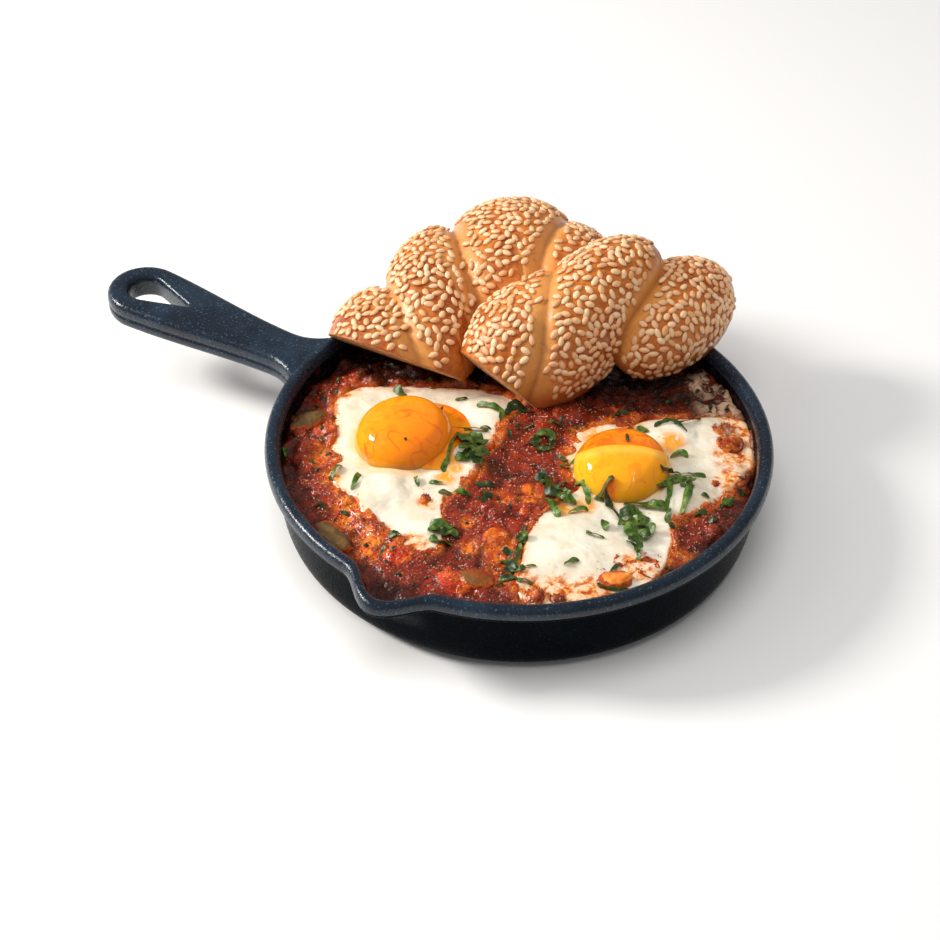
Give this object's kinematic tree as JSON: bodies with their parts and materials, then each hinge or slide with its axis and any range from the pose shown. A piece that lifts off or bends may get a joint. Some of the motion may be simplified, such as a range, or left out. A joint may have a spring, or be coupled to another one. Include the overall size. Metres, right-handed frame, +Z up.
{
  "type": "shakshuka in a small skillet",
  "caption": "Small round cast-iron skillet with a flat holed handle, filled with tomato sauce, poached eggs and herbs, with pieces of seeded plaited roll on top.",
  "frame": {"origin": "centre of the skillet's flat underside", "axes": "+Z up, away from the table; -X along the handle; the pouring lips face -Y and +Y"},
  "size_m": [0.2474, 0.1925, 0.0661],
  "materials": {
    "iron": "matte, finely pitted, blue-black",
    "sauce": "wet, oily tomato sauce with soft pieces",
    "egg_white": "set egg white, softly glossy, stained with oil at its edges",
    "egg_yolk": "glossy soft yolk",
    "aubergine": "soft cooked vegetable, wet",
    "pepper": "soft cooked vegetable, wet",
    "onion": "soft cooked vegetable, wet",
    "herb": "chopped fresh herb",
    "crust": "egg-washed golden crust with pale sesame seeds"
  },
  "bodies": {
    "root": {"skillet": "iron", "tomato_sauce": "sauce", "egg_white_left": "egg_white", "egg_yolk_left": "egg_yolk", "egg_white_right": "egg_white", "egg_yolk_right": "egg_yolk", "aubergine_front": "aubergine", "aubergine_left": "aubergine", "pepper_front": "pepper", "onion_right": "onion", "herbs_centre": "herb", "herbs_right": "herb", "herbs_middle": "herb", "herbs_far_right": "herb", "herbs_left": "herb", "herbs_front": "herb", "herbs_back": "herb", "bread_back": "crust", "bread_front": "crust"}
  },
  "joints": []
}
